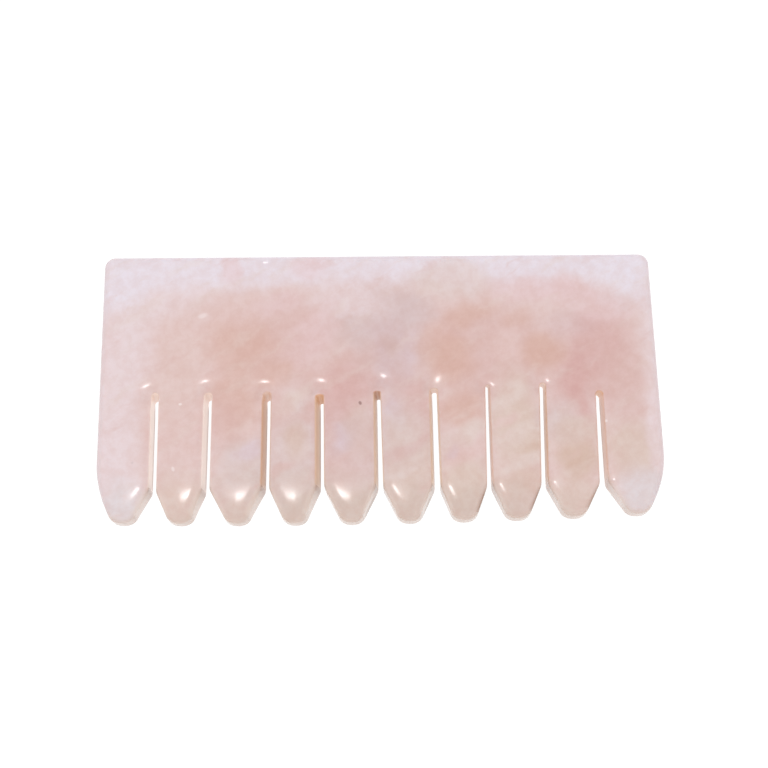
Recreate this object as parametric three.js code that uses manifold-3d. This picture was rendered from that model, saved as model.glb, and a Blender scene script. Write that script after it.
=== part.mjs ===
// A wide tooth comb, cut and polished from one slab of rose quartz.
//
// Millimetres, +Z up. The comb lies on its back face: X runs along the spine, the teeth point towards -Y
// and Z is the thickness. The origin is the middle of the comb's footprint, on the surface it lies on.
// The stone is a single piece, so the group holds a single mesh.

import * as THREE from 'three';
import { mergeVertices } from 'three/addons/utils/BufferGeometryUtils.js';
import Module from 'manifold-3d';

const wasm = await Module();
wasm.setup();

// The slab.
const HALF_LENGTH = 50;
const THICKNESS = 6;
const SPINE_Y = 24.38; // the spine's long edge, at X = 0
const SPINE_SLOPE = -0.0167; // the slab is a little deeper at its -X end
const SPINE_CORNER = 2; // radius of the two corners at the ends of the spine
const EDGE_RADIUS = 0.8; // rounding of the outline's edges on both faces
const EDGE_STEPS = 3;
const CURVE_STEPS = 6; // straight steps in each curve of the outline

// The teeth's points lie on a shallow bow, longest near the middle of the comb.
const TIP_Y = -25.16;
const TIP_BOW = 0.75; // how much shorter the outermost teeth are
const TIP_BOW_CENTRE = 5;

// One ground point, measured from its lowest spot.
const NOTCH_HEIGHT = 6.9; // where the grinds of two neighbouring teeth would meet, over the slot
const OUTER_SHOULDER_HEIGHT = 10; // where the two ends of the comb start to curve in
const OUTER_BEND_HEIGHT = 5.6;
const OUTER_BEND_INSET = 0.25;
const POINT_HEIGHT = 1.3; // where the straight grind meets the rounded end
const POINT_HALF_WIDTH = 2.37;
const POINT_CORNER = 1.75; // half width that the straight grinds would reach at the lowest spot

// The faces are ground down towards the points.
const FACE_GRIND_LENGTH = 6;
const FRONT_GRIND_DEPTH = 1.5;
const BACK_GRIND_DEPTH = 0.9;

// Saw cuts between the teeth, at the back face: X and width at the closed end, X and width at the mouth,
// and Y of the closed end. The saw was held at a slant, so at the front face the left side is further left
// by lean, and the closed end is further up by rise. No two are alike, because each is cut by hand.
const SLOTS = [
  { rootX: -39.95, rootWidth: 1.28, mouthX: -39.97, mouthWidth: 1.3, endY: -1.5, lean: 0, rise: 0.4 },
  { rootX: -30.3, rootWidth: 1.0, mouthX: -30.5, mouthWidth: 1.05, endY: -1.6, lean: 0.4, rise: 0.4 },
  { rootX: -19.67, rootWidth: 0.85, mouthX: -19.92, mouthWidth: 0.85, endY: -1.9, lean: 0.65, rise: 0.55 },
  { rootX: -10.2, rootWidth: 0.7, mouthX: -10.28, mouthWidth: 0.75, endY: -2.5, lean: 0.95, rise: 0.6 },
  { rootX: 0.0, rootWidth: 0.6, mouthX: 0.03, mouthWidth: 0.8, endY: -2.05, lean: 0.7, rise: 0.45 },
  { rootX: 10.03, rootWidth: 0.7, mouthX: 10.0, mouthWidth: 0.85, endY: -0.9, lean: 0.7, rise: -0.6 },
  { rootX: 19.45, rootWidth: 0.7, mouthX: 19.15, mouthWidth: 1.0, endY: 0.1, lean: 0, rise: -1.35 },
  { rootX: 29.3, rootWidth: 1.0, mouthX: 28.75, mouthWidth: 1.15, endY: -0.15, lean: 0, rise: -0.85 },
  { rootX: 39.27, rootWidth: 1.3, mouthX: 39.05, mouthWidth: 1.55, endY: -2.0, lean: 0, rise: -0.75 },
];
const SLOT_MOUTH_Y = -19;
const SAW_OVERRUN = 10; // how far each cut runs out past the slab's mouth side
const FACE_OVERRUN = 0.5; // and past its faces

function spineY(x) {
  return SPINE_Y + SPINE_SLOPE * x;
}

function tipY(x) {
  return TIP_Y + TIP_BOW * ((x - TIP_BOW_CENTRE) / HALF_LENGTH) ** 2;
}

// The point of one tooth, from left to right. x and y are its lowest spot. The notch on each side is
// where the straight grinds meet, and at the ends of the comb, where there is none, the side curves in.
function addPoint(shape, x, y, leftNotch, rightNotch) {
  if (!leftNotch) {
    shape.lineTo(-HALF_LENGTH, y + OUTER_SHOULDER_HEIGHT);
    const bendX = -HALF_LENGTH + OUTER_BEND_INSET;
    shape.quadraticCurveTo(bendX, y + OUTER_BEND_HEIGHT, x - POINT_HALF_WIDTH, y + POINT_HEIGHT);
  } else {
    shape.lineTo(x - POINT_HALF_WIDTH, y + POINT_HEIGHT);
  }
  shape.quadraticCurveTo(x - POINT_CORNER, y, x, y);
  shape.quadraticCurveTo(x + POINT_CORNER, y, x + POINT_HALF_WIDTH, y + POINT_HEIGHT);
  if (!rightNotch) {
    const bendX = HALF_LENGTH - OUTER_BEND_INSET;
    shape.quadraticCurveTo(bendX, y + OUTER_BEND_HEIGHT, HALF_LENGTH, y + OUTER_SHOULDER_HEIGHT);
  } else {
    shape.lineTo(rightNotch.x, rightNotch.y);
  }
}

// The notch over the mouth of a slot, or nothing where there is no slot.
function notchOver(slot) {
  return slot && { x: slot.mouthX, y: tipY(slot.mouthX) + NOTCH_HEIGHT };
}

// The comb seen from the front, before the slots are sawn.
function combOutline() {
  const shape = new THREE.Shape();
  const left = -HALF_LENGTH;
  const right = HALF_LENGTH;
  shape.moveTo(right, spineY(right) - SPINE_CORNER);
  shape.quadraticCurveTo(right, spineY(right), right - SPINE_CORNER, spineY(right - SPINE_CORNER));
  shape.lineTo(left + SPINE_CORNER, spineY(left + SPINE_CORNER));
  shape.quadraticCurveTo(left, spineY(left), left, spineY(left) - SPINE_CORNER);
  for (let tooth = 0; tooth <= SLOTS.length; tooth += 1) {
    const before = SLOTS[tooth - 1];
    const after = SLOTS[tooth];
    const toothLeft = before ? before.mouthX + before.mouthWidth / 2 : left;
    const toothRight = after ? after.mouthX - after.mouthWidth / 2 : right;
    const x = (toothLeft + toothRight) / 2;
    addPoint(shape, x, tipY(x), notchOver(before), notchOver(after));
  }
  shape.closePath();
  return shape;
}

// The slab with its outline's edges rounded on both faces.
function slabGeometry() {
  const geometry = new THREE.ExtrudeGeometry(combOutline(), {
    depth: THICKNESS - 2 * EDGE_RADIUS,
    curveSegments: CURVE_STEPS,
    bevelThickness: EDGE_RADIUS,
    bevelSize: EDGE_RADIUS,
    bevelOffset: -EDGE_RADIUS,
    bevelSegments: EDGE_STEPS,
  });
  return geometry.translate(0, 0, EDGE_RADIUS);
}

// One saw cut's outline at a height: a strip with a half-round closed end, carried on past the mouth.
function slotOutline(slot, z) {
  const share = z / THICKNESS;
  const lean = slot.lean * share;
  const rootX = slot.rootX - lean / 2;
  const rootWidth = slot.rootWidth + lean;
  const mouthX = slot.mouthX - lean / 2;
  const mouthWidth = slot.mouthWidth + lean;
  const rootY = slot.endY + slot.rise * share - rootWidth / 2;
  const beyond = SAW_OVERRUN / (rootY - SLOT_MOUTH_Y);
  const lowX = mouthX + beyond * (mouthX - rootX);
  const lowHalf = (mouthWidth + beyond * (mouthWidth - rootWidth)) / 2;
  const shape = new THREE.Shape();
  shape.moveTo(lowX - lowHalf, SLOT_MOUTH_Y - SAW_OVERRUN);
  shape.lineTo(lowX + lowHalf, SLOT_MOUTH_Y - SAW_OVERRUN);
  shape.lineTo(rootX + rootWidth / 2, rootY);
  shape.absarc(rootX, rootY, rootWidth / 2, 0, Math.PI, false);
  return shape.getPoints(CURVE_STEPS).map((point) => [point.x, point.y, z]);
}

// The stone that one saw cut takes away, through the whole thickness.
function slotSolid(slot) {
  const below = slotOutline(slot, -FACE_OVERRUN);
  const above = slotOutline(slot, THICKNESS + FACE_OVERRUN);
  return wasm.Manifold.hull([...below, ...above]);
}

// The stone ground off one face at the points: a wedge along the whole comb. faceZ is the face, and
// depth is how far below it the grind has come at the points, negative for the back face.
function faceGrindGeometry(faceZ, depth) {
  const start = TIP_Y + FACE_GRIND_LENGTH;
  const end = TIP_Y - SAW_OVERRUN;
  const slope = depth / FACE_GRIND_LENGTH;
  const wedge = new THREE.Shape();
  wedge.moveTo(start, faceZ);
  wedge.lineTo(end, faceZ - slope * (start - end));
  wedge.lineTo(end, faceZ + Math.sign(depth));
  wedge.lineTo(start, faceZ + Math.sign(depth));
  wedge.closePath();
  const geometry = new THREE.ExtrudeGeometry(wedge, {
    depth: 2 * (HALF_LENGTH + SAW_OVERRUN),
    bevelEnabled: false,
  });
  const alongX = new THREE.Matrix4().makeBasis(
    new THREE.Vector3(0, 1, 0),
    new THREE.Vector3(0, 0, 1),
    new THREE.Vector3(1, 0, 0),
  );
  return geometry.applyMatrix4(alongX).translate(-HALF_LENGTH - SAW_OVERRUN, 0, 0);
}

function toSolid(geometry) {
  geometry.deleteAttribute('normal');
  geometry.deleteAttribute('uv');
  const merged = mergeVertices(geometry, 1e-4);
  const mesh = new wasm.Mesh({
    numProp: 3,
    vertProperties: merged.attributes.position.array,
    triVerts: new Uint32Array(merged.index.array),
  });
  return new wasm.Manifold(mesh);
}

function toGeometry(solid) {
  const { vertProperties, triVerts } = solid.getMesh();
  const geometry = new THREE.BufferGeometry();
  geometry.setAttribute('position', new THREE.BufferAttribute(vertProperties, 3));
  geometry.setIndex(new THREE.BufferAttribute(triVerts, 1));
  const faceted = geometry.toNonIndexed();
  faceted.computeVertexNormals();
  return faceted;
}

function combGeometry() {
  let stone = toSolid(slabGeometry());
  stone = stone.subtract(toSolid(faceGrindGeometry(THICKNESS, FRONT_GRIND_DEPTH)));
  stone = stone.subtract(toSolid(faceGrindGeometry(0, -BACK_GRIND_DEPTH)));
  for (const slot of SLOTS) {
    stone = stone.subtract(slotSolid(slot));
  }
  return toGeometry(stone);
}

const roseQuartz = new THREE.MeshStandardMaterial({ color: 0xe2c4c2, roughness: 0.12, metalness: 0 });

const comb = new THREE.Mesh(combGeometry(), roseQuartz);
comb.name = 'comb';

const object = new THREE.Group();
object.add(comb);

export default object;
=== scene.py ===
"""A wide tooth comb of polished rose quartz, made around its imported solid.

The comb is one piece of stone. Its fine shape starts as a flat plan, with every saw cut and ground
point drawn at its real place. Geometry Nodes then raise the plan into a slab with two polished faces.
Sizes in the classes are millimetres unless a name says otherwise, and the scene itself is in metres.
"""

import logging
import math
from dataclasses import dataclass, field
from enum import Enum
from typing import Callable, Iterator, Sequence, Union

import bpy
import numpy as np
from mathutils import Euler, Matrix, Vector, noise
from mathutils.geometry import delaunay_2d_cdt


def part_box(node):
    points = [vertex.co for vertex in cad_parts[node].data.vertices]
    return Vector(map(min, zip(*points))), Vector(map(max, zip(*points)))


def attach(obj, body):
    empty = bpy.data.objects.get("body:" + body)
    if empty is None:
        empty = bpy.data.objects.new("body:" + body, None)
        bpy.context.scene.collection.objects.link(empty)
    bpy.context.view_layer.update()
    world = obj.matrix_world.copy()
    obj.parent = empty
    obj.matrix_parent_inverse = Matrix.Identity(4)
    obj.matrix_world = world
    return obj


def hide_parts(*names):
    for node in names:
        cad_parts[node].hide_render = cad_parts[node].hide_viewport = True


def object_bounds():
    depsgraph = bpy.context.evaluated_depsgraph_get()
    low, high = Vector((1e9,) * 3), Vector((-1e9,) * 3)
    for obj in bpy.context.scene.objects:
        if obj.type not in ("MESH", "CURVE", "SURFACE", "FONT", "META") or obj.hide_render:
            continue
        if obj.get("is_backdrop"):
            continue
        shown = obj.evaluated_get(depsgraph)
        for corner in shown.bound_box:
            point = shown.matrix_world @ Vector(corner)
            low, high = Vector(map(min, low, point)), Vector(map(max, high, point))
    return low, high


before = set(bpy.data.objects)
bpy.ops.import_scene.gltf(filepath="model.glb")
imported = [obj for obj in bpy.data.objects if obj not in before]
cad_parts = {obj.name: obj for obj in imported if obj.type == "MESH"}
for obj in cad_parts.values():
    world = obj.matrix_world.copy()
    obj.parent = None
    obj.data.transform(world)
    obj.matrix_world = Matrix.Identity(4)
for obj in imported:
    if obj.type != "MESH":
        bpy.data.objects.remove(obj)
CAD_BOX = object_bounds()

MM = 0.001
MID_HEIGHT = 3.0  # half the slab's thickness
LOG = logging.getLogger("comb")

Colour = tuple[float, float, float]
Point = tuple[float, float]

BLACK = (0.0, 0.0, 0.0)
WHITE = (1.0, 1.0, 1.0)
NOISE_MIDDLE = 0.5  # the value that a Noise texture swings about


def rgba(colour: Colour) -> tuple[float, float, float, float]:
    """Returns a colour with full opacity."""
    return (*colour, 1.0)


def eased(share: np.ndarray) -> np.ndarray:
    """Returns shares from 0 to 1 that ease in and out."""
    return share * share * (3 - 2 * share)


# ---------------------------------------------------------------------------------------------------
# Node trees
# ---------------------------------------------------------------------------------------------------


class Value:
    """A number on a socket, which Python's operators turn into Math nodes."""

    def __init__(self, bench: "Bench", socket: bpy.types.NodeSocket) -> None:
        """Keeps the socket and the bench that adds nodes after it."""
        self.bench = bench
        self.socket = socket

    def math(self, operation: str, *others: "Number") -> "Value":
        """Puts this number first into a Math node.

        Args:
            operation: the node's operation.
            others: the node's other inputs, in order.

        Returns:
            The node's result.
        """
        return self.bench.math(operation, self, *others)

    def __add__(self, other: "Number") -> "Value":
        """Returns self + other."""
        return self.math("ADD", other)

    def __radd__(self, other: "Number") -> "Value":
        """Returns other + self."""
        return self.bench.math("ADD", other, self)

    def __sub__(self, other: "Number") -> "Value":
        """Returns self - other."""
        return self.math("SUBTRACT", other)

    def __rsub__(self, other: "Number") -> "Value":
        """Returns other - self."""
        return self.bench.math("SUBTRACT", other, self)

    def __mul__(self, other: "Number") -> "Value":
        """Returns self * other."""
        return self.math("MULTIPLY", other)

    def __rmul__(self, other: "Number") -> "Value":
        """Returns other * self."""
        return self.bench.math("MULTIPLY", other, self)

    def __truediv__(self, other: "Number") -> "Value":
        """Returns self / other."""
        return self.math("DIVIDE", other)

    def __rtruediv__(self, other: "Number") -> "Value":
        """Returns other / self."""
        return self.bench.math("DIVIDE", other, self)

    def root(self) -> "Value":
        """Returns the square root."""
        return self.math("SQRT")

    def at_most(self, limit: "Number") -> "Value":
        """Returns the smaller of the number and a limit."""
        return self.math("MINIMUM", limit)

    def between(self, start: float, end: float) -> "Value":
        """Says how far the number has come from start to end, easing in and out.

        Args:
            start: the number that gives 0.
            end: the number that gives 1, which may be below start.

        Returns:
            A value from 0 to 1.
        """
        low, high = min(start, end), max(start, end)
        span = (0.0, 1.0) if start < end else (1.0, 0.0)
        ease = self.bench.node(
            "ShaderNodeMapRange",
            {"interpolation_type": "SMOOTHSTEP"},
            {"Value": self, "From Min": low, "From Max": high, "To Min": span[0], "To Max": span[1]},
        )
        return Value(self.bench, ease.outputs["Result"])


Number = Union[float, Value]
Input = Union[float, tuple, Value, bpy.types.NodeSocket, bpy.types.ID]


class Bench:
    """Adds nodes to one node tree."""

    def __init__(self, tree: bpy.types.NodeTree) -> None:
        """Keeps the tree that the nodes go into."""
        self.tree = tree

    def node(self, kind: str, settings: dict | None = None, inputs: dict | None = None) -> bpy.types.Node:
        """Adds one node.

        Args:
            kind: the node's type.
            settings: its own properties, set before its sockets.
            inputs: a value or a link for each input, by the socket's name or number.

        Returns:
            The new node.
        """
        node = self.tree.nodes.new(kind)
        for name, value in (settings or {}).items():
            setattr(node, name, value)
        for key, value in (inputs or {}).items():
            socket = node.inputs[key]
            if isinstance(value, Value):
                self.tree.links.new(value.socket, socket)
            elif isinstance(value, bpy.types.NodeSocket):
                self.tree.links.new(value, socket)
            else:
                socket.default_value = value
        return node

    def math(self, operation: str, *numbers: Number) -> Value:
        """Adds a Math node.

        Args:
            operation: its operation.
            numbers: its inputs, in order.

        Returns:
            Its result.
        """
        node = self.node("ShaderNodeMath", {"operation": operation}, dict(enumerate(numbers)))
        return Value(self, node.outputs[0])

    def mix(self, amount: Number, first: Input, second: Input, blend: str = "MIX") -> bpy.types.NodeSocket:
        """Mixes two colours.

        Args:
            amount: how much of the second colour there is.
            first: the colour where amount is 0.
            second: the colour where amount is 1.
            blend: the way in which they are mixed.

        Returns:
            The mixed colour's socket.
        """
        settings = {"data_type": "RGBA", "blend_type": blend, "clamp_factor": True}
        node = self.node("ShaderNodeMix", settings, {0: amount, 6: first, 7: second})
        return node.outputs[2]

    def cloudy(self, where: Input, size: float, detail: float = 2.0, rough: float = 0.5) -> bpy.types.Node:
        """Adds a Noise texture.

        Args:
            where: the point that it is read at, in millimetres.
            size: the size of its largest lumps, in millimetres.
            detail: how many finer layers it has.
            rough: how strong the finer layers are.

        Returns:
            The node, with its Fac and Color outputs.
        """
        inputs = {"Vector": where, "Scale": 1 / size, "Detail": detail, "Roughness": rough}
        return self.node("ShaderNodeTexNoise", None, inputs)

    def vector(self, operation: str, *inputs: Input) -> bpy.types.Node:
        """Adds a Vector Math node.

        Args:
            operation: its operation.
            inputs: its inputs, in order.

        Returns:
            The node.
        """
        return self.node("ShaderNodeVectorMath", {"operation": operation}, dict(enumerate(inputs)))

    def here(self) -> bpy.types.NodeSocket:
        """Returns the point inside the stone, in millimetres, for a material."""
        place = self.node("ShaderNodeTexCoord").outputs["Object"]
        scaled = self.node("ShaderNodeVectorMath", {"operation": "SCALE"}, {0: place, "Scale": 1 / MM})
        return scaled.outputs[0]

    def stored(self, name: str) -> Value:
        """Returns the number stored at the mesh's points under a name, for a material."""
        return Value(self, self.node("ShaderNodeAttribute", {"attribute_name": name}).outputs["Fac"])

    def stored_colour(self, name: str) -> bpy.types.NodeSocket:
        """Returns the colour stored at the mesh's points under a name, for a material."""
        return self.node("ShaderNodeAttribute", {"attribute_name": name}).outputs["Color"]


# ---------------------------------------------------------------------------------------------------
# Colours of the stone
# ---------------------------------------------------------------------------------------------------


class Tint(Enum):
    """The colours that run through the slab, as they look in the studio, from 0 to 255."""

    BODY = (225, 200, 196)
    MILK = (231, 221, 228)
    MIST = (222, 211, 212)
    PALE = (230, 212, 213)
    BLUSH = (228, 201, 202)
    PEACH = (225, 197, 192)
    TERRACOTTA = (216, 178, 165)
    ROSE = (218, 184, 178)
    RED_CLOUD = (215, 175, 170)
    HAZE = (214, 192, 191)
    MAUVE = (213, 185, 187)
    LAVENDER = (220, 201, 208)
    OLIVE = (223, 205, 201)
    SAND = (220, 198, 187)
    BISCUIT = (214, 186, 171)
    CREAM = (225, 206, 199)
    TIP = (209, 190, 178)
    PEBBLE = (219, 199, 196)
    UMBER = (203, 165, 152)
    IRON = (130, 95, 90)
    SPARK = (246, 236, 236)


class EdgeTone(Enum):
    """The colour that shows in each stretch of the outline's edge, from 0 to 255."""

    SPINE = (214, 202, 212)
    END = (210, 194, 197)
    POINT = (210, 190, 179)
    GRIND = (229, 213, 204)
    # painted shade, at the foot of the walls and on the ground sides of the teeth in shade
    SHADE = (146, 112, 92)
    PALE_WALL = (238, 228, 222)
    TAN_WALL = (219, 194, 171)
    DUSTY_WALL = (217, 187, 171)
    BROWN_WALL = (211, 177, 149)
    PALE_ROOT = (224, 206, 196)
    ROSE_ROOT = (217, 192, 178)
    TAN_ROOT = (210, 171, 140)
    DARK_ROOT = (188, 152, 132)


SHEEN = 0.045  # the light that the polish adds to every colour
SCATTER_POWER = 0.97  # makes up for the light that the stone's inside soaks up
CLOUD_DEPTH = 40.0  # a cloud's reach from face to face, which takes it right through the slab


def linear(channel: float) -> float:
    """Returns a colour's channel, from 0 to 255, as an amount of light from 0 to 1."""
    return ((channel / 255 + 0.055) / 1.055) ** 2.4


def stone_colour(shade: Tint | EdgeTone) -> Colour:
    """Works out the surface colour that looks like a shade once it is lit and polished.

    Args:
        shade: the shade.

    Returns:
        The surface colour.
    """
    return tuple(min(1.0, max(0.0, linear(channel) - SHEEN)) ** SCATTER_POWER for channel in shade.value)


@dataclass(frozen=True)
class Cloud:
    """A soft patch of one colour inside the stone."""

    tint: Tint
    x: float
    y: float
    reach_x: float
    reach_y: float
    strength: float
    turn: float = 0.0
    softness: float = 0.6

    def amount(self, points: np.ndarray) -> np.ndarray:
        """Says how much of the cloud there is at each of many points.

        Args:
            points: the points inside the stone, in millimetres, one to a row.

        Returns:
            0 outside the cloud, rising to its strength.
        """
        turn = math.radians(self.turn)
        x, y = points[:, 0] - self.x, points[:, 1] - self.y
        along = (x * math.cos(turn) + y * math.sin(turn)) / self.reach_x
        across = (y * math.cos(turn) - x * math.sin(turn)) / self.reach_y
        away = np.hypot(along, across)
        far, near = 1 + self.softness / 2, 1 - self.softness
        return self.strength * eased(np.clip((far - away) / (far - near), 0, 1))

    def mask(self, bench: Bench, where: Input) -> Value:
        """Adds the nodes that say where the cloud is.

        Args:
            bench: the material's bench.
            where: the point inside the stone, in millimetres.

        Returns:
            0 outside the cloud, rising to its strength.
        """
        placed = bench.node(
            "ShaderNodeMapping",
            {"vector_type": "TEXTURE"},
            {
                "Vector": where,
                "Location": (self.x, self.y, MID_HEIGHT),
                "Rotation": (0.0, 0.0, math.radians(self.turn)),
                "Scale": (self.reach_x, self.reach_y, CLOUD_DEPTH),
            },
        )
        away = Value(bench, bench.vector("LENGTH", placed.outputs[0]).outputs["Value"])
        return away.between(1 + self.softness / 2, 1 - self.softness) * self.strength


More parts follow.
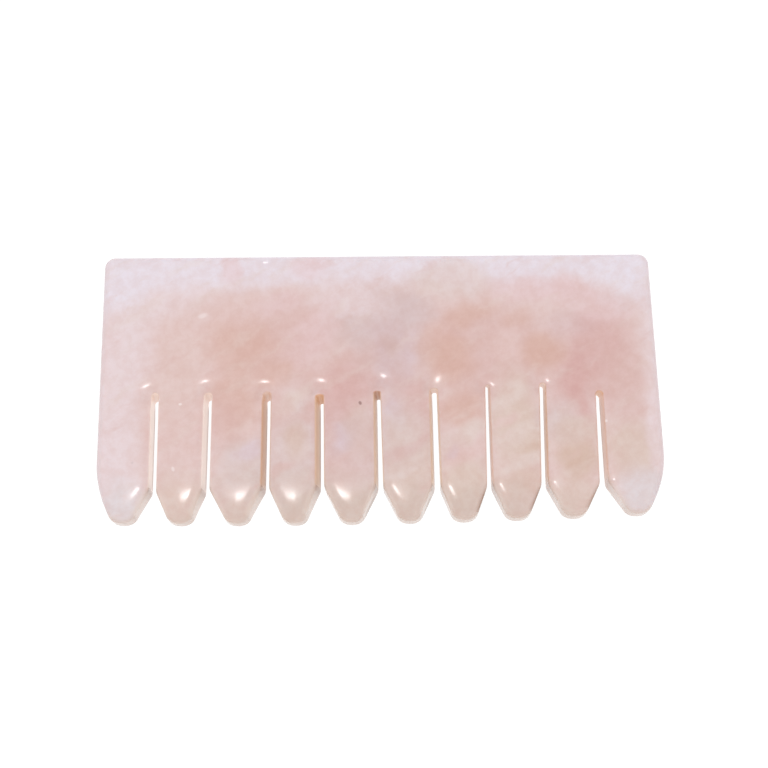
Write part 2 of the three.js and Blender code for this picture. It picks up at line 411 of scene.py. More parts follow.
@dataclass(frozen=True)
class RoseQuartz:
    """Polished rose quartz: cloudy, with milky bands, wisps and a few specks."""

    name: str = "rose_quartz"
    roughness: float = 0.16
    roughness_change: float = 0.06
    wall_roughness: float = 0.3
    ior: float = 1.54
    # how strongly painted shade browns the foot of the walls and ground sides
    painted_foot_shade: float = 0.6
    glow_weight: float = 0.4
    glow_reach: float = 1.2
    glow_colour: Colour = (1.0, 0.88, 0.82)
    glow_direction: float = 0.2
    seed: int = 34
    warp: float = 2.0
    warp_size: float = 11.0
    fine_warp: float = 1.1
    fine_warp_size: float = 2.8
    grain_turn: float = 32.0
    streak_length: float = 12.0
    streak_width: float = 2.4
    streak_detail: float = 3.0
    streak_rough: float = 0.55
    streak_strength: float = 0.3
    pale_streaks: tuple[float, float] = (0.52, 0.72)
    red_streaks: tuple[float, float] = (0.46, 0.26)
    mottle_size: float = 1.8
    mottle_detail: float = 5.0
    mottle_rough: float = 0.68
    mottle_range: tuple[float, float] = (0.3, 0.7)
    mottle_dark: Colour = (0.974, 0.943, 0.938)
    mottle_light: Colour = (1.022, 1.05, 1.07)
    smear_size: float = 6.0
    smear_detail: float = 3.0
    ripple_size: float = 5.0
    ripple_detail: float = 1.0
    ripple_height: float = 0.25
    saw_mark_size: float = 2.0
    saw_mark_squeeze: tuple[float, float, float] = (4.0, 1.0, 4.0)
    saw_mark_height: float = 0.3
    bump_strength: float = 0.12
    bump_height: float = 0.2
    # A cloud's tint, its x and y, how far it reaches along and across, its strength and its turn.
    clouds: tuple[Cloud, ...] = (
        Cloud(Tint.PEACH, -30, 0, 24, 14, 0.9, 4),
        Cloud(Tint.PALE, -47, -4, 6.5, 40, 0.9, -3),
        Cloud(Tint.ROSE, -16, 8, 12, 9, 0.6, 12),
        Cloud(Tint.TERRACOTTA, -24.5, 6.5, 7.5, 6, 0.6),
        Cloud(Tint.TERRACOTTA, -25.5, -3.5, 5.5, 6, 0.6),
        Cloud(Tint.ROSE, -27, -8, 4, 6, 0.5),
        Cloud(Tint.TERRACOTTA, -18, 1.5, 4, 2.5, 0.5, 20),
        Cloud(Tint.HAZE, 0, 12, 9, 8, 0.75, 20),
        Cloud(Tint.PALE, -6, 16, 8, 5, 0.7),
        Cloud(Tint.BLUSH, -11, 8, 4, 7, 0.5, -20),
        Cloud(Tint.ROSE, -4, 3.5, 9, 2.6, 0.7, 28),
        Cloud(Tint.RED_CLOUD, -4, 0, 5, 4, 0.5, 30),
        Cloud(Tint.MAUVE, 3, 3, 4, 9, 0.7, 10),
        Cloud(Tint.LAVENDER, 6.5, 5.5, 1.6, 5, 0.7, -14),
        Cloud(Tint.HAZE, 6, 13, 5, 4, 0.6),
        Cloud(Tint.UMBER, 2.3, 6.5, 1.7, 2.6, 0.45, 15),
        Cloud(Tint.RED_CLOUD, 6, -3, 3, 4, 0.5),
        Cloud(Tint.ROSE, 20, 5, 13, 10, 0.75, -6),
        Cloud(Tint.TERRACOTTA, 13, 4.5, 5, 5, 0.75, 30),
        Cloud(Tint.TERRACOTTA, 16, 12.5, 6, 2.6, 0.6, 24),
        Cloud(Tint.TERRACOTTA, 25, 11, 4, 3, 0.4, -10),
        Cloud(Tint.PEACH, 23.5, 5, 4, 4, 0.75, 30),
        Cloud(Tint.TERRACOTTA, 30, 4.5, 4.5, 3.2, 0.8, 15),
        Cloud(Tint.RED_CLOUD, 39.5, 6, 6, 9, 0.75, -12),
        Cloud(Tint.RED_CLOUD, 35.5, 0.5, 2.6, 4.5, 0.85),
        Cloud(Tint.BLUSH, 38, 14, 9, 3.5, 0.5, -20),
        Cloud(Tint.ROSE, 43, -3, 4.5, 6, 0.6),
        Cloud(Tint.PALE, 49.5, 4, 3.4, 18, 0.85),
        Cloud(Tint.MILK, 47, 21, 9, 8, 0.85, -20),
        Cloud(Tint.PALE, -40, 18, 22, 5.5, 0.85, 18),
        Cloud(Tint.MILK, -48, 19, 12, 5, 0.8, 24),
        Cloud(Tint.MILK, -15, 24, 46, 5.6, 0.85),
        Cloud(Tint.MILK, 30, 23.8, 28, 5.8, 0.9),
        Cloud(Tint.BLUSH, 30, 17.5, 12, 2.8, 0.6, -4),
        Cloud(Tint.OLIVE, 13, 19.5, 8, 4, 0.8),
        Cloud(Tint.BLUSH, -26, 23, 1.4, 4, 0.6),
        Cloud(Tint.PALE, -48, -14, 5, 9, 0.8),
        Cloud(Tint.SAND, -35, -21, 6, 5, 0.7),
        Cloud(Tint.PEBBLE, -24, -15, 6, 6, 0.9, 20),
        Cloud(Tint.LAVENDER, -23, -12.5, 3.5, 1.5, 0.6, 30),
        Cloud(Tint.PEBBLE, -14.5, -12, 5.5, 12, 0.8),
        Cloud(Tint.CREAM, -15.5, -3.5, 5.5, 1.8, 0.9, 38),
        Cloud(Tint.ROSE, -12.5, -6, 3, 1.5, 0.6, 20),
        Cloud(Tint.BISCUIT, -14.5, -11, 2.6, 3, 0.6),
        Cloud(Tint.ROSE, -17, -15.5, 2.6, 1.2, 0.7, 20),
        Cloud(Tint.RED_CLOUD, -7, -5, 3.4, 8, 0.6, -10),
        Cloud(Tint.LAVENDER, -5.7, -10, 1.6, 4, 0.8, -25),
        Cloud(Tint.ROSE, -6, -16, 2.4, 3.5, 0.6, -15),
        Cloud(Tint.BISCUIT, -3.2, -8, 2.4, 5, 0.5),
        Cloud(Tint.PEBBLE, 2.5, -6, 3, 6, 0.7),
        Cloud(Tint.LAVENDER, 2.2, -5.5, 1.8, 3.4, 0.8, 20),
        Cloud(Tint.SAND, 5, -14, 6, 8, 0.85),
        Cloud(Tint.ROSE, 4.5, -12, 5.5, 1.3, 0.7, 22),
        Cloud(Tint.CREAM, 5.5, -8.5, 5, 1.3, 0.7, 30),
        Cloud(Tint.CREAM, 4, -16.5, 5, 0.9, 0.7, 24),
        Cloud(Tint.TERRACOTTA, 14, -5, 5.5, 4, 0.7, 20),
        Cloud(Tint.CREAM, 14.5, -10, 6, 2, 0.9, 30),
        Cloud(Tint.PEACH, 15, -14, 5.5, 1.8, 0.8, 20),
        Cloud(Tint.LAVENDER, 12, -13, 1.3, 1.5, 0.7),
        Cloud(Tint.SAND, 15, -19, 6, 4.5, 0.9, 10),
        Cloud(Tint.SAND, 24.5, -9, 5.5, 10, 0.95),
        Cloud(Tint.CREAM, 23, -4, 5, 1.6, 0.8, 28),
        Cloud(Tint.CREAM, 24, -10.5, 5, 2, 0.7, 32),
        Cloud(Tint.PEACH, 22.5, -7.5, 3, 0.9, 0.7, 25),
        Cloud(Tint.BISCUIT, 26.5, -13.5, 3, 1.2, 0.6, 25),
        Cloud(Tint.CREAM, 24.5, -16.5, 5, 1, 0.8, 28),
        Cloud(Tint.BISCUIT, 24.5, -20, 5, 2.6, 0.55, 12),
        Cloud(Tint.PEBBLE, 32.5, -7.5, 4.5, 5, 0.9, 30),
        Cloud(Tint.RED_CLOUD, 37, -4.5, 1.3, 3, 0.7, 10),
        Cloud(Tint.BISCUIT, 34.5, -15.5, 4.5, 4, 0.9, -20),
        Cloud(Tint.SAND, 34, -22, 6, 4, 0.7),
        Cloud(Tint.SAND, 44, -14, 5.5, 5.5, 0.8, -10),
        Cloud(Tint.PALE, 48.5, -13, 2.5, 8, 0.7),
        Cloud(Tint.PALE, 45.5, -22.5, 5, 3, 0.7),
        Cloud(Tint.ROSE, 7.5, -4.5, 3, 6, 0.55),
        Cloud(Tint.TERRACOTTA, 9.5, 7, 4, 4, 0.3),
        Cloud(Tint.ROSE, -17.5, -6, 2.8, 4, 0.45),
        Cloud(Tint.ROSE, -12.5, 0, 2.8, 4, 0.35),
        Cloud(Tint.SAND, 2.5, -8, 2.5, 4, 0.35),
        Cloud(Tint.ROSE, -7, -13, 3, 2.6, 0.5),
        Cloud(Tint.ROSE, -2.5, -11, 2.5, 5, 0.35),
        Cloud(Tint.BISCUIT, 35, -10.5, 5, 4, 0.4),
        Cloud(Tint.ROSE, 42.5, 0, 3, 6, 0.35),
        Cloud(Tint.MAUVE, 35, 9.5, 5, 3, 0.3),
        Cloud(Tint.CREAM, -36, 1, 5, 10, 0.25),
        Cloud(Tint.BLUSH, -18, 15, 5, 3, 0.45),
        Cloud(Tint.PALE, 15, 20, 5, 3, 0.4),
        Cloud(Tint.MILK, 42, 20.5, 7, 3, 0.45),
        Cloud(Tint.ROSE, 12.5, -13, 2.5, 3, 0.4),
        Cloud(Tint.MILK, -48, 20, 4, 4, 0.5),
        Cloud(Tint.TIP, 0, -25, 40, 6, 0.75),
        Cloud(Tint.TIP, -12, -19, 20, 4, 0.35),
        Cloud(Tint.MIST, -45.5, -22, 5, 5, 0.8),
        Cloud(Tint.MIST, 46, -22, 5, 5, 0.8),
        Cloud(Tint.ROSE, 5, -1, 4.5, 5, 0.5),
        Cloud(Tint.RED_CLOUD, 35, 0, 4.5, 6, 0.5),
        Cloud(Tint.RED_CLOUD, -5, -1, 4.5, 5, 0.35),
        Cloud(Tint.SAND, 35, -9, 5, 3, 0.4),
        Cloud(Tint.PEACH, -25, 13.5, 6, 4, 0.4),
        Cloud(Tint.BLUSH, -13, 23, 3, 3, 0.6),
        Cloud(Tint.SAND, -25, -23, 6, 3, 0.3),
        Cloud(Tint.HAZE, 0, -11, 11, 8, 0.35),
        Cloud(Tint.HAZE, 3, 5, 8, 6, 0.35),
    )
    specks: tuple[Cloud, ...] = (
        Cloud(Tint.IRON, -3.3, -4.0, 0.3, 0.4, 0.6, 20, 0.5),
        Cloud(Tint.SPARK, -35.3, -3.5, 0.35, 0.25, 0.6, 0, 0.5),
        Cloud(Tint.SPARK, -31.6, 13.1, 1.0, 0.5, 0.4, 20, 0.6),
        Cloud(Tint.SPARK, -36.3, -15.3, 0.3, 0.5, 0.5, 20, 0.5),
        Cloud(Tint.SPARK, 40.1, -8.2, 0.3, 0.3, 0.6, 0, 0.5),
        Cloud(Tint.IRON, -43.5, -14, 0.25, 0.25, 0.12, 0, 0.5),
    )

    def painted(self, points: np.ndarray) -> np.ndarray:
        """Works out the stone's colour at many points, before the fine streaks.

        Args:
            points: the points, in millimetres, one to a row.

        Returns:
            The colours, one to a row.
        """
        noise.seed_set(self.seed)
        moved = points.copy()
        for size, push in ((self.warp_size, self.warp), (self.fine_warp_size, self.fine_warp)):
            drift = [noise.noise_vector(Vector(point) / size) for point in moved]
            moved = moved + np.array(drift) * push
        colour = np.array([stone_colour(Tint.BODY)]).repeat(len(points), 0)
        for cloud in self.clouds:
            amount = cloud.amount(moved)[:, None]
            colour = colour * (1 - amount) + np.array(stone_colour(cloud.tint)) * amount
        return colour

    def point(self, bench: Bench) -> tuple[bpy.types.NodeSocket, bpy.types.NodeSocket]:
        """Adds the nodes that read the point inside the stone.

        Args:
            bench: the material's bench.

        Returns:
            The point in millimetres, and the same point pushed about, which makes streaks waver.
        """
        here = bench.here()
        drift = bench.cloudy(here, self.fine_warp_size).outputs["Color"]
        drift = bench.vector("SUBTRACT", drift, (NOISE_MIDDLE, NOISE_MIDDLE, NOISE_MIDDLE)).outputs[0]
        push = 2 * self.fine_warp
        drift = bench.vector("MULTIPLY", drift, (push, push, push)).outputs[0]
        return here, bench.vector("ADD", here, drift).outputs[0]

    def along_grain(self, bench: Bench, where: Input) -> bpy.types.NodeSocket:
        """Stretches the point along the way in which the stone's streaks run.

        Args:
            bench: the material's bench.
            where: the point, in millimetres.

        Returns:
            The stretched point, for a Noise texture of size 1.
        """
        placed = bench.node(
            "ShaderNodeMapping",
            {"vector_type": "TEXTURE"},
            {
                "Vector": where,
                "Rotation": (0.0, 0.0, math.radians(self.grain_turn)),
                "Scale": (self.streak_length, self.streak_width, self.streak_length / 2),
            },
        )
        return placed.outputs[0]

    def colour(self, bench: Bench) -> bpy.types.NodeSocket:
        """Adds the nodes of the stone's colour.

        Args:
            bench: the material's bench.

        Returns:
            The colour's socket.
        """
        here, moved = self.point(bench)
        colour = bench.stored_colour("stone")

        grain = self.along_grain(bench, moved)
        streak = bench.cloudy(grain, 1.0, self.streak_detail, self.streak_rough)
        streak = Value(bench, streak.outputs["Fac"])
        for tint, (start, end) in ((Tint.CREAM, self.pale_streaks), (Tint.ROSE, self.red_streaks)):
            amount = streak.between(start, end) * self.streak_strength
            colour = bench.mix(amount, colour, rgba(stone_colour(tint)))

        mottle = bench.cloudy(here, self.mottle_size, self.mottle_detail, self.mottle_rough)
        mottle = Value(bench, mottle.outputs["Fac"]).between(*self.mottle_range)
        shade = bench.mix(mottle, rgba(self.mottle_dark), rgba(self.mottle_light))
        colour = bench.mix(1.0, colour, shade, "MULTIPLY")

        for speck in self.specks:
            colour = bench.mix(speck.mask(bench, here), colour, rgba(stone_colour(speck.tint)))
        return colour

    def edge_tone(self, bench: Bench, here: bpy.types.NodeSocket) -> bpy.types.NodeSocket:
        """Adds the nodes of the colour at the outline's edge, with painted shade that browns the foot of the
        walls.

        Args:
            bench: the material's bench.
            here: the point inside the stone, in millimetres.

        Returns:
            The colour's socket.
        """
        height = bench.node("ShaderNodeSeparateXYZ", None, {0: here}).outputs["Z"]
        # painted shade: below the stored foot height the edge colour turns to the SHADE brown
        foot = (bench.stored("foot") - height).between(0.0, 1.0) * self.painted_foot_shade
        return bench.mix(foot, bench.stored_colour("edge_tone"), rgba(stone_colour(EdgeTone.SHADE)))

    def bump(self, bench: Bench, here: bpy.types.NodeSocket, wall: Value) -> bpy.types.NodeSocket:
        """Adds the nodes of the polish's faint ripple and of the saw's marks on the walls.

        Args:
            bench: the material's bench.
            here: the point inside the stone, in millimetres.
            wall: 1 on the slots' walls and 0 elsewhere.

        Returns:
            The normal's socket.
        """
        ripple = Value(bench, bench.cloudy(here, self.ripple_size, self.ripple_detail).outputs["Fac"])
        squeezed = bench.vector("MULTIPLY", here, self.saw_mark_squeeze).outputs[0]
        saw_marks = Value(bench, bench.cloudy(squeezed, self.saw_mark_size).outputs["Fac"])
        height = ripple * self.ripple_height + saw_marks * wall * self.saw_mark_height
        sizes = {"Strength": self.bump_strength, "Distance": self.bump_height * MM, "Height": height}
        return bench.node("ShaderNodeBump", None, sizes).outputs["Normal"]

    def make(self) -> bpy.types.Material:
        """Makes the material.

        Returns:
            The material, ready to put on the comb.
        """
        material = bpy.data.materials.new(self.name)
        material.use_nodes = True
        material.node_tree.nodes.clear()
        bench = Bench(material.node_tree)
        here = bench.here()
        tone = self.edge_tone(bench, here)
        wall = bench.stored("wall")
        smear = Value(bench, bench.cloudy(here, self.smear_size, self.smear_detail).outputs["Fac"])
        rough = smear * self.roughness_change + self.roughness
        shader = bench.node(
            "ShaderNodeBsdfPrincipled",
            {"subsurface_method": "RANDOM_WALK"},
            {
                "Base Color": bench.mix(bench.stored("edge_amount"), self.colour(bench), tone),
                "Roughness": rough + wall * (self.wall_roughness - self.roughness),
                "Normal": self.bump(bench, here, wall),
                "IOR": self.ior,
                # painted light: the slots' walls and round ends glow by emission in their edge colour
                "Emission Color": bench.mix(bench.stored("glow"), rgba(BLACK), tone),
                "Emission Strength": 1.0,
                "Subsurface Weight": self.glow_weight,
                "Subsurface Radius": self.glow_colour,
                "Subsurface Scale": self.glow_reach * MM,
                "Subsurface Anisotropy": self.glow_direction,
            },
        )
        bench.node("ShaderNodeOutputMaterial", None, {"Surface": shader.outputs[0]})
        return material


@dataclass(frozen=True)
class PlainFinish:
    """A matt surface of one colour, for the studio."""

    name: str
    colour: Colour
    roughness: float
    glow: float

    def make(self) -> bpy.types.Material:
        """Makes the material.

        Returns:
            The material.
        """
        material = bpy.data.materials.new(self.name)
        material.use_nodes = True
        shader = material.node_tree.nodes["Principled BSDF"]
        shader.inputs["Base Color"].default_value = rgba(self.colour)
        shader.inputs["Roughness"].default_value = self.roughness
        shader.inputs["Emission Color"].default_value = rgba(WHITE)
        shader.inputs["Emission Strength"].default_value = self.glow
        return material


# ---------------------------------------------------------------------------------------------------
# The comb's plan
# ---------------------------------------------------------------------------------------------------


@dataclass(frozen=True)
class Dish:
    """A shallow hollow polished into the faces round the closed end of a slot."""

    x: float
    y: float
    radius: float


@dataclass(frozen=True)
class SawCut:
    """The slot between two teeth, at the back face, from its root at the closed end to its mouth.

    The saw was held at a slant: at the front, the left side is further left by lean and the closed end
    is further up by rise. The tones are those of its walls and its round end, and has_dark_grind says
    that the ground side of the tooth on its left gets painted shade.
    """

    root_x: float
    root_width: float
    mouth_x: float
    mouth_width: float
    end_y: float
    lean: float
    rise: float
    dish: Dish
    wall_tone: EdgeTone
    root_tone: EdgeTone
    has_dark_grind: bool = False
    mouth_y: float = -19.0

    @property
    def root_y(self) -> float:
        """Returns where the straight sides end and the round end starts."""
        return self.end_y - self.root_width / 2

    def side(self, hand: int, y: float) -> Point:
        """Finds a point on one side of the cut.

        Args:
            hand: -1 for the left side and 1 for the right.
            y: how far up the comb the point is.

        Returns:
            The point.
        """
        down = (self.root_y - y) / (self.root_y - self.mouth_y)
        middle = self.root_x + (self.mouth_x - self.root_x) * down
        width = self.root_width + (self.mouth_width - self.root_width) * down
        return middle + hand * width / 2, y


def line(start: Point, end: Point, step: float) -> np.ndarray:
    """Points along a straight line.

    Args:
        start: its first point.
        end: where it ends, which isn't among the points.
        step: about how far apart they are.

    Returns:
        The points, one to a row.
    """
    return ramp(start, end, max(1, round(math.dist(start, end) / step)))


def bend(start: Point, corner: Point, end: Point, step: float) -> np.ndarray:
    """Points along a curve that rounds off a corner.

    Args:
        start: its first point.
        corner: the corner that it leaves start for and reaches end from.
        end: where it ends, which isn't among the points.
        step: about how far apart they are.

    Returns:
        The points, one to a row.
    """
    count = max(2, round((math.dist(start, corner) + math.dist(corner, end)) / step))
    share = np.arange(count)[:, None] / count
    legs = np.array(start) * (1 - share) ** 2 + np.array(end) * share**2
    return legs + np.array(corner) * 2 * share * (1 - share)


def arc(centre: Point, radius: float, start: float, end: float, step: float) -> np.ndarray:
    """Points along an arc.

    Args:
        centre: its centre.
        radius: its radius.
        start: its first angle, in degrees.
        end: its last angle, whose point isn't among the points.
        step: about how far apart they are.

    Returns:
        The points, one to a row.
    """
    sweep = math.radians(end - start)
    count = max(4, round(abs(sweep) * radius / step))
    angle = math.radians(start) + sweep * np.arange(count) / count
    return np.array(centre) + radius * np.stack([np.cos(angle), np.sin(angle)], 1)


def ramp(start: Point, end: Point, count: int) -> np.ndarray:
    """Goes evenly from one vector towards another.

    Args:
        start: the first vector.
        end: the vector after the last.
        count: how many there are.

    Returns:
        The vectors, one to a row.
    """
    share = np.arange(count)[:, None] / count
    return np.array(start) * (1 - share) + np.array(end) * share


@dataclass(frozen=True)
class Edge:
    """One kind of edge: how far in its rounding reaches, and how much of its own colour shows."""

    rim: float
    amount: float


@dataclass
class Stretch:
    """A run of the outline with one kind of edge.

    Its slant is how far the front is from the back, its glow is painted light standing in for the light
    that comes through the stone there, and its foot is the height up to which painted shade browns it.
    """

    points: np.ndarray
    edge: Edge
    tone: EdgeTone
    slant: np.ndarray | None = None
    glow: float = 0.0
    foot: float = 0.0

    def __post_init__(self) -> None:
        """Makes an upright edge where no slant is given."""
        if self.slant is None:
            self.slant = np.zeros_like(self.points)


@dataclass
class CombPlan:
    """The comb seen from the front: its outline, and how its edge is finished all the way round."""

    half_length: float = 50.0
    spine_y: float = 24.38
    spine_slope: float = -0.0167
    spine_corner: float = 2.0
    tip_y: float = -25.16
    tip_bow: float = 0.75
    tip_bow_centre: float = 5.0
    notch_height: float = 6.9  # where the grinds of two neighbouring teeth would meet, over the slot
    outer_shoulder_height: float = 10.0
    outer_bend_height: float = 5.6
    outer_bend_inset: float = 0.25
    point_height: float = 1.3
    point_half_width: float = 2.37
    point_corner: float = 1.75
    shoulder_ease: float = 0.55
    shoulder_rounds: int = 6
    point_slant: float = 0.75  # the share of a cut's lean that the point beside it takes on
    # painted light: emission that makes the slots' walls and round ends glow, standing in for light coming
    # through the stone
    painted_wall_glow: float = 0.2
    painted_root_glow: float = 0.3
    # heights up to which painted shade browns the foot of the walls and ground sides
    wall_foot: float = 2.2
    grind_foot: float = 1.6
    dark_foot: float = 3.2
    root_pull: float = 4.0  # how far down its sides a cut's rise is felt
    outer_edge: Edge = Edge(0.8, 0.7)
    wall_edge: Edge = Edge(0.35, 0.85)
    shoulder_edge: Edge = Edge(0.45, 0.7)
    point_edge: Edge = Edge(0.6, 0.8)
    left_grind_edge: Edge = Edge(0.6, 0.7)
    right_grind_edge: Edge = Edge(0.8, 0.85)
    dark_grind_edge: Edge = Edge(0.4, 0.85)
    straight_step: float = 0.45
    curve_step: float = 0.16
    root_step: float = 0.07
    # A cut's x and width at its root and at its mouth, where it ends, its lean and rise, and its dish.
    cuts: tuple[SawCut, ...] = (
        SawCut(
            -39.95, 1.28, -39.97, 1.3, -1.5, 0, 0.4, Dish(-40.8, -2.5, 2.2),
            EdgeTone.PALE_WALL, EdgeTone.PALE_ROOT,
        ),
        SawCut(
            -30.3, 1, -30.5, 1.05, -1.6, 0.4, 0.4, Dish(-30.5, -1.9, 2.2),
            EdgeTone.PALE_WALL, EdgeTone.PALE_ROOT,
        ),
        SawCut(
            -19.67, 0.85, -19.92, 0.85, -1.9, 0.65, 0.55, Dish(-20.6, -2.35, 2.2),
            EdgeTone.BROWN_WALL, EdgeTone.ROSE_ROOT,
        ),
        SawCut(
            -10.13, 0.6, -10.18, 0.65, -2.7, 0.95, 0.7, Dish(-10.8, -1.9, 2.2),
            EdgeTone.TAN_WALL, EdgeTone.TAN_ROOT,
        ),
        SawCut(
            0.04, 0.52, 0.1, 0.78, -2.1, 0.7, 0.45, Dish(0, -1, 2.2),
            EdgeTone.TAN_WALL, EdgeTone.DARK_ROOT, has_dark_grind=True,
        ),
        SawCut(
            10.15, 0.7, 10.16, 0.88, -0.9, 0.75, -0.6, Dish(9.65, -1.15, 2.2),
            EdgeTone.TAN_WALL, EdgeTone.ROSE_ROOT, has_dark_grind=True,
        ),
        SawCut(
            19.45, 0.7, 19.15, 1, 0.1, 0, -1.35, Dish(18.8, -1.5, 2.4),
            EdgeTone.DUSTY_WALL, EdgeTone.ROSE_ROOT, has_dark_grind=True,
        ),
        SawCut(
            29.3, 1, 28.75, 1.15, -0.15, 0, -0.85, Dish(28.6, -1.35, 2.5),
            EdgeTone.BROWN_WALL, EdgeTone.ROSE_ROOT, has_dark_grind=True,
        ),
        SawCut(
            39.27, 1.2, 39.1, 1.5, -2, 0, -0.75, Dish(38.9, -3, 1),
            EdgeTone.DUSTY_WALL, EdgeTone.TAN_ROOT, has_dark_grind=True,
        ),
    )

    def spine(self, x: float) -> Point:
        """Returns the point of the spine's long edge at x."""
        return x, self.spine_y + self.spine_slope * x

    def tip(self, x: float) -> Point:
        """Returns the lowest spot of a tooth whose middle is at x."""
        return x, self.tip_y + self.tip_bow * ((x - self.tip_bow_centre) / self.half_length) ** 2

    def tooth_middle(self, number: int) -> float:
        """Finds the middle of a tooth at its mouth.

        Args:
            number: the tooth, counted from 0 at the left.

        Returns:
            Its X.
        """
        left = self.cuts[number - 1].side(1, SawCut.mouth_y)[0] if number > 0 else -self.half_length
        last = number == len(self.cuts)
        right = self.half_length if last else self.cuts[number].side(-1, SawCut.mouth_y)[0]
        return (left + right) / 2

    def shoulder(self, cut: SawCut, hand: int, grind_end: Point) -> Point:
        """Finds the corner where a cut's side meets the ground side of a point.

        Args:
            cut: the saw cut.
            hand: -1 for the cut's left side and 1 for its right.
            grind_end: where the straight grind of that tooth ends, at its point.

        Returns:
            The corner.
        """
        notch_x, notch_y = cut.mouth_x, self.tip(cut.mouth_x)[1] + self.notch_height
        y = cut.mouth_y
        for _ in range(self.shoulder_rounds):
            x = cut.side(hand, y)[0]
            y = notch_y + (x - notch_x) * (grind_end[1] - notch_y) / (grind_end[0] - notch_x)
        return cut.side(hand, y)

    def eased_corner(self, before: Point, corner: Point, after: Point) -> tuple[Point, np.ndarray, Point]:
        """Takes the sharpness off a corner.

        Args:
            before: a point on the straight line into the corner.
            corner: the corner.
            after: a point on the straight line out of it.

        Returns:
            Where the rounding starts, its points, and where it ends.
        """
        into = Vector(before) - Vector(corner)
        out = Vector(after) - Vector(corner)
        start = tuple(Vector(corner) + into.normalized() * self.shoulder_ease)
        end = tuple(Vector(corner) + out.normalized() * self.shoulder_ease)
        return start, bend(start, corner, end, self.curve_step), end

    def sawn_slant(self, cut: SawCut, points: np.ndarray, hand: int) -> np.ndarray:
        """Finds how far a cut's front is from its back along one of its sides.

        Args:
            cut: the saw cut.
            points: points along that side.
            hand: -1 for the left side and 1 for the right.

        Returns:
            The slant at each point, which reaches the cut's full rise at its closed end.
        """
        near = np.clip(1 - (cut.root_y - points[:, 1]) / self.root_pull, 0, 1)
        across = np.full(len(points), -cut.lean if hand < 0 else 0.0)
        return np.stack([across, cut.rise * eased(near)], 1)

    def end_corners(self, number: int, hand: int) -> tuple[Point, Point, Point]:
        """Finds the corners of one end of the comb, from its spine down.

        Args:
            number: the tooth at that end.
            hand: -1 for the left end and 1 for the right.

        Returns:
            Where the spine's rounded corner stops, where the end starts to curve in, and the corner
            that the curve rounds off.
        """
        x = hand * self.half_length
        top_y = self.spine(hand * (self.half_length - self.spine_corner))[1] - self.spine_corner
        tip_y = self.tip(self.tooth_middle(number))[1]
        turn = (x - hand * self.outer_bend_inset, tip_y + self.outer_bend_height)
        return (x, top_y), (x, tip_y + self.outer_shoulder_height), turn

    def left_side(self, number: int, grind_end: Point) -> Iterator[Stretch]:
        """Goes down the left side of a tooth.

        Args:
            number: the tooth.
            grind_end: where its straight grind ends.

        Yields:
            Each stretch, from the slot's round end or the spine's corner to the grind's end.
        """
        if number == 0:
            top, shoulder, turn = self.end_corners(number, -1)
            yield Stretch(line(top, shoulder, self.straight_step), self.outer_edge, EdgeTone.END)
            yield Stretch(bend(shoulder, turn, grind_end, self.straight_step), self.outer_edge, EdgeTone.END)
            return
        cut = self.cuts[number - 1]
        top = cut.side(1, cut.root_y)
        corner = self.shoulder(cut, 1, grind_end)
        start, easing, end = self.eased_corner(top, corner, grind_end)
        sawn = line(top, start, self.straight_step)
        slant = self.sawn_slant(cut, sawn, 1)
        yield Stretch(sawn, self.wall_edge, cut.wall_tone, slant, self.painted_wall_glow, self.wall_foot)
        yield Stretch(easing, self.shoulder_edge, EdgeTone.POINT)
        yield Stretch(line(end, grind_end, self.straight_step), self.left_grind_edge, EdgeTone.GRIND)

    def right_side(self, number: int, grind_end: Point) -> Iterator[Stretch]:
        """Goes up the right side of a tooth.

        Args:
            number: the tooth.
            grind_end: where its straight grind starts.

        Yields:
            Each stretch, from the grind to the slot's round end or the spine's corner.
        """
        if number == len(self.cuts):
            top, shoulder, turn = self.end_corners(number, 1)
            yield Stretch(bend(grind_end, turn, shoulder, self.straight_step), self.outer_edge, EdgeTone.END)
            yield Stretch(line(shoulder, top, self.straight_step), self.outer_edge, EdgeTone.END)
            return
        cut = self.cuts[number]
        top = cut.side(-1, cut.root_y)
        corner = self.shoulder(cut, -1, grind_end)
        start, easing, end = self.eased_corner(grind_end, corner, top)
        full, part = (-cut.lean, 0.0), (-cut.lean * self.point_slant, 0.0)
        grind = line(grind_end, start, self.straight_step)
        slant = ramp(part, full, len(grind))
        # a dark grind gets painted shade: a higher foot of painted shade, and the SHADE tone at its rim
        # where the cut doesn't lean
        edge = self.dark_grind_edge if cut.has_dark_grind else self.right_grind_edge
        foot = self.dark_foot if cut.has_dark_grind else self.grind_foot
        tone = EdgeTone.SHADE if cut.has_dark_grind and not cut.lean else EdgeTone.GRIND
        yield Stretch(grind, edge, tone, slant, 0.0, foot)
        yield Stretch(easing, self.shoulder_edge, EdgeTone.POINT, ramp(full, full, len(easing)))
        side = line(end, top, self.straight_step)
        slant = self.sawn_slant(cut, side, -1)
        yield Stretch(side, self.wall_edge, cut.wall_tone, slant, self.painted_wall_glow, self.wall_foot)
        around = arc((cut.root_x, cut.root_y), cut.root_width / 2, 180, 0, self.root_step)
        share = (around - (cut.root_x, cut.root_y)) / (cut.root_width / 2)
        across = -cut.lean * (1 - share[:, 0]) / 2
        slant = np.stack([across, np.full(len(around), cut.rise)], 1)
        yield Stretch(around, self.wall_edge, cut.root_tone, slant, self.painted_root_glow)

